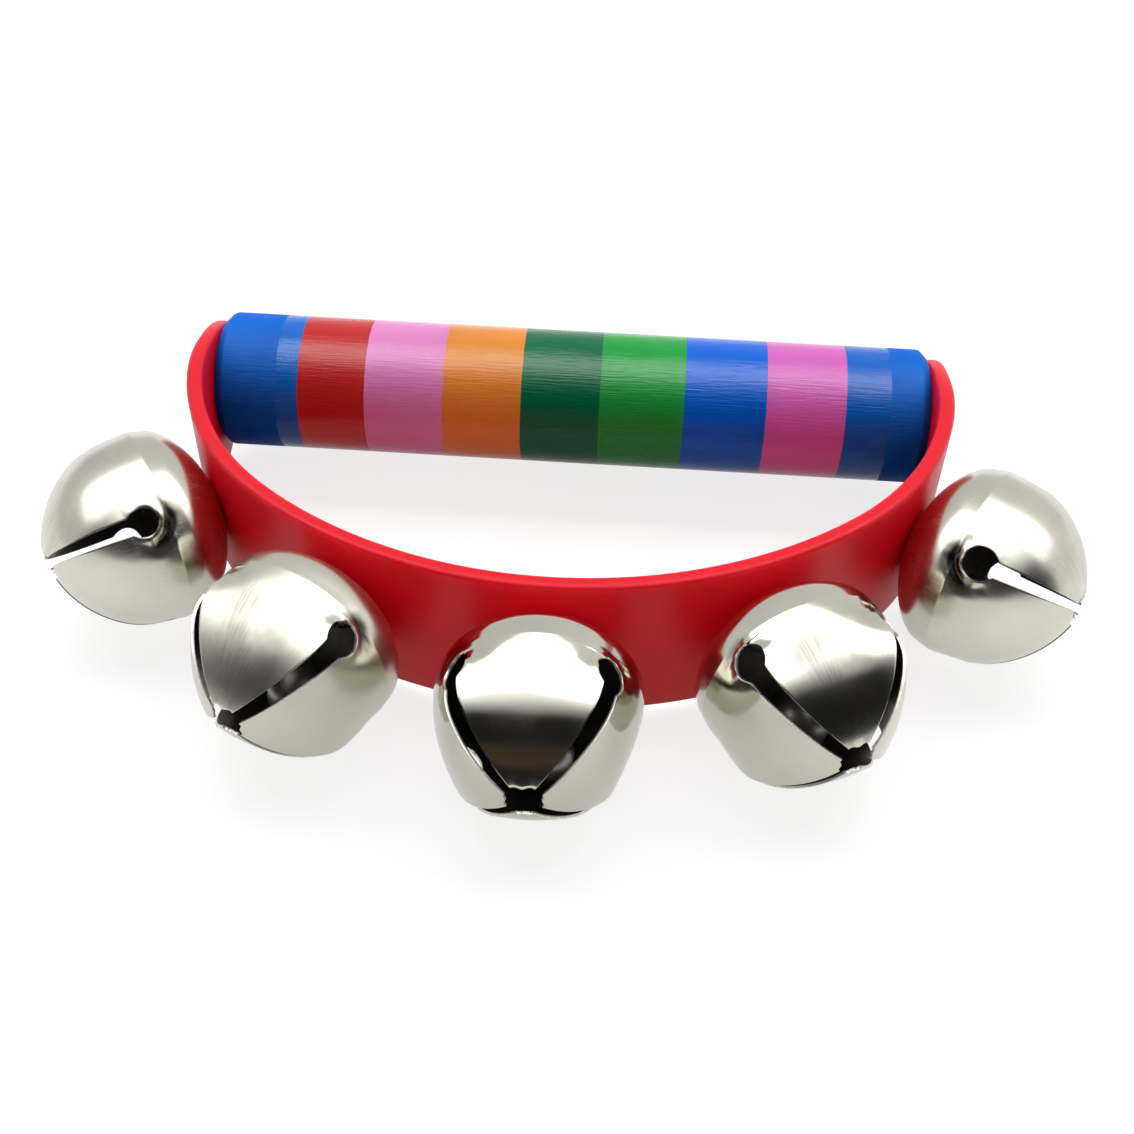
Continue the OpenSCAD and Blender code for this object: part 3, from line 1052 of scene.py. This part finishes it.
def petal_profile(form):
    """Points of a petal from the bend to its tip: it leans in more and more."""
    radius, height = form["bend_r"], BEND_HEIGHT
    points = []
    stride = form["length"] / PETAL_STEPS
    for step in range(PETAL_STEPS):
        share = ((step + 0.5) / PETAL_STEPS) ** form["power"]
        lean = math.radians(LEAN_AT_BEND + (form["tip_lean"] - LEAN_AT_BEND) * share)
        radius -= stride * math.sin(lean)
        height += stride * math.cos(lean)
        points.append((radius, height))
    return points


def lengths_along(points):
    """The length from the first point to each point."""
    lengths = [0.0]
    for (radius_a, height_a), (radius_b, height_b) in zip(points, points[1:]):
        lengths.append(lengths[-1] + math.hypot(radius_b - radius_a, height_b - height_a))
    return lengths


for form in (SLENDER, FULL, FLARED):
    form["bend"] = lengths_along(cup_profile(form))[-1]
    form["points"] = cup_profile(form) + petal_profile(form)
    form["lengths"] = lengths_along(form["points"])
    form["tip"] = form["lengths"][-1]
    print("petal tip at radius and height", [round(c, 2) for c in form["points"][-1]])

# %% Find a place along the profile
def on_profile(form, length):
    """Radius and height of the sheet at a length along the profile."""
    lengths, points = form["lengths"], form["points"]
    low, high = 0, len(points) - 1
    while high - low > 1:
        middle = (low + high) // 2
        if lengths[middle] <= length:
            low = middle
        else:
            high = middle
    share = (length - lengths[low]) / (lengths[high] - lengths[low])
    radius = points[low][0] + share * (points[high][0] - points[low][0])
    height = points[low][1] + share * (points[high][1] - points[low][1])
    return radius, height


print("sheet is", round(FULL["tip"], 1), "mm from rivet to tip, bend at", round(FULL["bend"], 1))

# %% [markdown]
# ## Slots and rows
# The slot between two petals is a round hole, a neck and a slit that narrows to the mouth.
# The petals' edges follow it, so no hole has to be cut. The rows of points crowd where the sheet turns
# most, at the bend and round the hole, and stay wide apart elsewhere.

# %% Slots between the petals
HOLE_R = 2.2
HOLE_RISE = 3.0
SLOT_ROOT_HALF = 1.25
SLOT_TIP_HALF = 0.62
NECK_BLEND = 2.4


def slot_half_width(beyond, petal_length, hole_r, slot_share):
    """Half the width of the slot at a length beyond its hole's centre."""
    if beyond <= -hole_r:
        return 0.0
    hole = math.sqrt(max(hole_r**2 - beyond**2, 0.0))
    if beyond <= 0:
        return hole
    share = beyond / petal_length
    slit = SLOT_ROOT_HALF + (SLOT_TIP_HALF - SLOT_ROOT_HALF) * share
    slit *= slot_share * min(beyond / hole_r, 1.0)
    return (hole**NECK_BLEND + slit**NECK_BLEND) ** (1 / NECK_BLEND)


print("slit is", 2 * SLOT_ROOT_HALF, "to", 2 * SLOT_TIP_HALF, "mm wide")

# %% Rows of points
CUP_ROWS = 18
CREASE = 0.5
BASE_ROWS = 28
HOLE_ROWS = 20
PETAL_ROWS = 38
LAST_ROW = BASE_ROWS + HOLE_ROWS + PETAL_ROWS


def row_length(row, form):
    """The length along the profile of a row of points."""
    crease = form["bend"] - CREASE
    hole_at = form["bend"] + HOLE_RISE
    if row < CUP_ROWS:
        return crease * row / CUP_ROWS
    if row < BASE_ROWS:
        share = (row - CUP_ROWS) / (BASE_ROWS - CUP_ROWS)
        return crease + (hole_at - HOLE_R - crease) * share
    if row < BASE_ROWS + HOLE_ROWS:
        return hole_at - HOLE_R * math.cos(math.pi * (row - BASE_ROWS) / HOLE_ROWS)
    share = (row - BASE_ROWS - HOLE_ROWS) / PETAL_ROWS
    return hole_at + HOLE_R + (form["tip"] - hole_at - HOLE_R) * share


print("rows:", LAST_ROW + 1)

# %% [markdown]
# ## Dents and lips
# Bending the arms shut crumples the sheet at the foot of each slot. It leaves a crescent dent on the
# base side of the hole, a raised lip round it and small crumples beside it. They are wide enough to
# change the outline and the mirror picture, so they are moved points and no bump in the material.

# %% Dents and lips beside the holes
DENT_DEPTH = 0.45
DENT_AT = 3.2
DENT_WIDTH = 0.75
DENT_POWER = 2.2
LIP_RISE = 0.14
LIP_WIDTH = 0.45
CRUMPLE = 0.12
CRUMPLE_SCALE = 1.1
CRUMPLE_REACH = 1.6


def hill(away, width):
    """A smooth hill: 1 at its top, fading within about its width."""
    return math.exp(-((away / width) ** 2))


def dent_share(along, across, slant):
    """How deep in the crescent dent on the base side of a hole a point is, from 0 to 1."""
    far = math.hypot(along, across)
    slanted = along * math.cos(slant) + across * math.sin(slant)
    towards_base = max(0.0, -slanted / max(far, HOLE_R))
    return towards_base**DENT_POWER * hill(far - DENT_AT, DENT_WIDTH)


def pucker(along, across, dented, spot):
    """How far the sheet is pressed in or out near a hole, in mm."""
    from_rim = math.hypot(along, across) - HOLE_R
    lip = LIP_RISE * hill(from_rim, LIP_WIDTH)
    crumple = CRUMPLE * hill(from_rim, CRUMPLE_REACH) * noise.noise(spot * CRUMPLE_SCALE)
    if along > 0:
        fade = hill(along, HOLE_R)
        lip *= fade
        crumple *= fade
    return lip + crumple - DENT_DEPTH * dented


print("deepest dent", DENT_DEPTH, "mm at", DENT_AT, "mm from a hole")

# %% [markdown]
# ## Place of one point
# The profile gives a point's radius and height. Its side on the petal gives the bearing, and where
# the petal is flat across, its sides reach farther out than its middle. The holes then press the
# sheet in and out, and a slow wave stands for the work of the press. Last, the whole bell leans.

# %% What the holes do to a point
PETALS = 4
QUARTER = math.pi / 2
HOLE_MARGIN = 0.01


def pressed(spot, bearing, reach, along, traits):
    """How far the holes push a point out, in mm, and how much painted shade darkens it there."""
    out = 0.0
    painted_dent_shade = 0.0
    for hole in range(PETALS):
        apart = bearing - (hole + 0.5) * QUARTER
        apart = math.atan2(math.sin(apart), math.cos(apart))
        if abs(apart) < QUARTER / 2 + HOLE_MARGIN:
            across = reach * math.sin(apart)
            dented = dent_share(along, across, traits["slant"])
            out += traits["pucker"][hole] * pucker(along, across, dented, spot + traits["seed"])
            # Painted shade: the deeper the dent, the darker its colour.
            painted_dent_shade += traits["painted_dent_shade"][hole] * dented
    return out, painted_dent_shade


print("holes:", PETALS, "one every", round(math.degrees(QUARTER)), "degrees")

# %% Where a point of the sheet comes to lie
FLAT_FULL = 9.0
ANGLE_ROUNDS = 4
EDGE_POWER = 4
WAVE_SIZE = 0.05
WAVE_SCALE = 0.11
FINER = 4
FAINTER = 5


def held(share):
    """A share held between 0 and 1."""
    return min(max(share, 0.0), 1.0)


def flat_share(beyond_bend, flat_from):
    """0 where the cup is round, rising smoothly to 1 where the petals are flat across."""
    share = held((beyond_bend - flat_from) / (FLAT_FULL - flat_from))
    return share * share * (3 - 2 * share)


def petal_half_angle(radius, opening, flat):
    """Half the angle that a petal fills beside its slots, found in a few rounds."""
    half_angle = QUARTER / 2
    for _ in range(ANGLE_ROUNDS):
        reach = radius / math.cos(half_angle) ** flat
        half_angle = QUARTER / 2 - math.asin(min(opening / reach, 1.0))
    return half_angle


def press_wave(spot, seed):
    """The slow wave in the sheet, with a finer and fainter one on it, in mm."""
    wave = noise.noise(spot * WAVE_SCALE + seed) * WAVE_SIZE
    return wave + noise.noise(spot * FINER * WAVE_SCALE + seed) * WAVE_SIZE / FAINTER


def sheet_point(length, side, petal, traits):
    """Place in mm, bearing and painted dent shade of a point; side runs from -1 to 1 across the petal.
    """
    form = traits["forms"][petal]
    radius, height = on_profile(form, length)
    along = length - form["bend"] - HOLE_RISE
    petal_length = form["tip"] - form["bend"] - HOLE_RISE
    opening = slot_half_width(along, petal_length, traits["hole_r"], traits["slot"])
    flat = form["flatness"] * flat_share(length - form["bend"], form["flat_from"])
    seam = held(-along / HOLE_R)
    turn = side * petal_half_angle(radius, opening, flat * (1 - seam))
    bearing = petal * QUARTER + turn
    reach = radius / math.cos(turn) ** (flat * (1 - seam * side**EDGE_POWER))
    spot = Vector((reach * math.cos(bearing), reach * math.sin(bearing), height - RING_HEIGHT))
    beyond = max(0.0, (length - form["bend"]) / (form["tip"] - form["bend"]))
    pressed_out, painted_dent_shade = pressed(spot, bearing, reach, along, traits)
    out = traits["lift"][petal] * beyond**2 + pressed_out
    if length > SEAT_R:
        out += press_wave(spot, traits["seed"])
    point = spot + spot.normalized() * out + Vector((0, 0, RING_HEIGHT))
    point.x += traits["lean"][0] * height
    point.y += traits["lean"][1] * height
    return point, bearing, painted_dent_shade


print("a petal is flattest", FLAT_FULL, "mm beyond the bend")

# %% [markdown]
# ## What sets the five bells apart
# Pressed by the thousand, bells still come out each with its own turn, lean, slot and dents.
# What the photograph shows of that is written down for the bells from left to right. What it doesn't
# show, such as the lift of single petals, comes from seeded draws, so that every run is the same.

# %% Notes on each bell
TOP_SLENDER = (FULL, SLENDER, FULL, FULL)
ALL_FLARED = (FLARED, FLARED, FLARED, FLARED)
BELLS = {
    "bend_centre": (left_centre, front_centre, front_centre, front_centre, right_centre),
    "turn": (1.5, -1, 2.5, 0, 0.5),
    "lean": ((-0.005, -0.02), (-0.018, 0.012), (-0.037, -0.006), (0.008, 0), (-0.005, 0.004)),
    "forms": (ALL_FLARED, TOP_SLENDER, TOP_SLENDER, TOP_SLENDER, ALL_FLARED),
    "hole_r": (1.8, 2.1, 2.2, 2.2, 2.2),
    "slot": (1, 1.22, 1.18, 1.22, 0.88),
    "slant": (0.5, 0.3, 0, -0.3, -0.5),
    "pucker": (
        (1, 0.1, 0.3, 0.3),
        (0.7, 0.2, 0.3, 0.3),
        (0.5, 0.5, 0.3, 0.3),
        (0.2, 0.5, 0.3, 0.3),
        (0.1, 1, 0.3, 0.3),
    ),
    # Painted shade in the dent beside each hole, petal by petal.
    "painted_dent_shade": ((1, 0, 0, 0), (0.5, 0, 0, 0), (0.3, 0.3, 0, 0), (0, 0.3, 0, 0), (0, 1, 0, 0)),
    "wear": (0.75, 1.2, 0.0, 0.25, 0.75),
    "rubbed": (0.3, 0.9, 0, 0.9, 0.3),
}
NUMBERS = (1, 2, 3, 4, 5)
LIFT_MOST = 0.25
PUCKER_DRAW = (0.75, 1.15)
TIP_PHASE_MOST = 0.5
SEED_STEP = Vector((17, 5, 11))


def bell_traits(number):
    """The notes on one bell, with its seeded draws."""
    draw = random.Random(number)
    traits = {trait: values[number - 1] for trait, values in BELLS.items()}
    traits["lift"] = [draw.uniform(-LIFT_MOST, LIFT_MOST) for _ in range(PETALS)]
    traits["pucker"] = [share * draw.uniform(*PUCKER_DRAW) for share in traits["pucker"]]
    traits["tip"] = [draw.uniform(-TIP_PHASE_MOST, TIP_PHASE_MOST) for _ in range(PETALS)]
    traits["seed"] = SEED_STEP * number
    return traits


def bell_place(number, traits):
    """The matrix from a bell's own frame in mm, seat at the origin and mouth along Z, to the part."""
    low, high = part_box("bell_pea_%d" % number)
    centre = (low + high) / 2
    centre.z = handle_mid.z
    outward = centre - traits["bend_centre"]
    outward.z = 0
    outward.normalize()
    seat = centre - outward * RING_HEIGHT * MM
    sideways = Vector((-outward.y, outward.x, 0))
    frame_of_bell = Matrix((sideways, (0, 0, 1), outward)).transposed().to_4x4()
    turn = Matrix.Rotation(math.radians(traits["turn"]), 4, "Z")
    return Matrix.Translation(seat) @ frame_of_bell @ turn @ Matrix.Scale(MM, 4)


for number in NUMBERS:
    print("seat of bell", number, in_mm(bell_place(number, bell_traits(number)).translation))

# %% Shape one petal
PETAL_COLUMNS = 32
EDGE_CROWDING = 1.25
TIP_WAVES = 1.5
TIP_NOTCH = 0.14
TIP_ZONE = 5.0
RUBBED_PETAL = 1
RUB_FADE = 4.0


def tip_shift(to_tip, side, phase):
    """How far the wavy tip of a petal moves a point along the profile."""
    near_tip = max(0.0, 1 - to_tip / TIP_ZONE)
    return -TIP_NOTCH * near_tip**2 * (1 - math.cos(TIP_WAVES * math.pi * side + phase))


def rub_share_at(beyond_bend, side):
    """How far a petal is rubbed, from 0 in the cup and at the slots to 1 in the middle."""
    return held(beyond_bend / RUB_FADE) * (1 - side**EDGE_POWER)


def make_petal(petal, traits):
    """One petal with its quarter of the base, as a shaped grid with its own UV map in mm."""
    form = traits["forms"][petal]
    bpy.ops.mesh.primitive_grid_add(x_subdivisions=PETAL_COLUMNS, y_subdivisions=LAST_ROW, size=2)
    made = bpy.context.object
    for name in ("painted_dent_shade", "wear", "rubbed"):
        made.data.attributes.new(name, "FLOAT", "POINT")
    marks_on = made.data.attributes
    sheet_spots = []
    for point in made.data.vertices:
        side = math.sin(EDGE_CROWDING * point.co.x) / math.sin(EDGE_CROWDING)
        row = round((point.co.y + 1) / 2 * LAST_ROW)
        length = row_length(row, form)
        length += tip_shift(form["tip"] - length, side, traits["tip"][petal])
        point.co, bearing, painted_dent_shade = sheet_point(length, side, petal, traits)
        # The painted shade of the dents is stored on the mesh for the material.
        marks_on["painted_dent_shade"].data[point.index].value = painted_dent_shade
        marks_on["wear"].data[point.index].value = traits["wear"]
        if petal == RUBBED_PETAL:
            rub = traits["rubbed"] * rub_share_at(length - form["bend"], side)
            marks_on["rubbed"].data[point.index].value = rub
        sheet_spots.append((bearing * BELL_R, length))
    uv = made.data.uv_layers["UVMap"].data
    for loop in made.data.loops:
        uv[loop.index].uv = sheet_spots[loop.vertex_index]
    return made


print("a petal has", PETAL_COLUMNS, "by", LAST_ROW, "faces")

# %% Make the five bells
SHEET_T = 0.35
EDGE_ROUND = 0.08
EDGE_STEPS = 2


def join_petals(number):
    """Four petals of one bell, joined, set in their place and merged, with the outside out."""
    traits = bell_traits(number)
    to_part = bell_place(number, traits)
    bpy.ops.object.select_all(action="DESELECT")
    petals = [make_petal(petal, traits) for petal in range(PETALS)]
    for petal in petals:
        petal.select_set(True)
    bpy.context.view_layer.objects.active = petals[0]
    bpy.ops.object.join()
    joined = bpy.context.object
    joined.data.transform(to_part)
    bpy.ops.object.mode_set(mode="EDIT")
    bpy.ops.mesh.select_all(action="SELECT")
    bpy.ops.mesh.remove_doubles(threshold=NEAR)
    bpy.ops.mesh.normals_make_consistent(inside=False)
    bpy.ops.object.mode_set(mode="OBJECT")
    centre = to_part @ Vector((0, 0, RING_HEIGHT))
    outside = max(joined.data.polygons, key=lambda face: (face.center - centre).length)
    if outside.normal.dot(outside.center - centre) < 0:
        joined.data.flip_normals()
    return joined


def make_bell(number):
    """A whole bell: its petals turned to sheet, deburred and finished."""
    bell = join_petals(number)
    for finish in (nickel, bell_inside, cut_edge):
        bell.data.materials.append(finish)
    sheet = {"thickness": SHEET_T * MM, "offset": -1.0}
    finishes = {"material_offset": 1, "material_offset_rim": 2}
    apply_modifier(bell, "sheet_metal", "SOLIDIFY", **sheet, **finishes)
    round_edges(bell, "deburred_edges", EDGE_ROUND, EDGE_STEPS, SHEET_SHARP)
    bpy.ops.object.shade_smooth_by_angle(angle=SHEET_SHARP)
    settle(bell, "petal_bell_%d" % number, BODY, "bell_shell_%d" % number)
    return bell


bells = [make_bell(number) for number in NUMBERS]
print("bells have", [len(bell.data.polygons) for bell in bells], "faces")
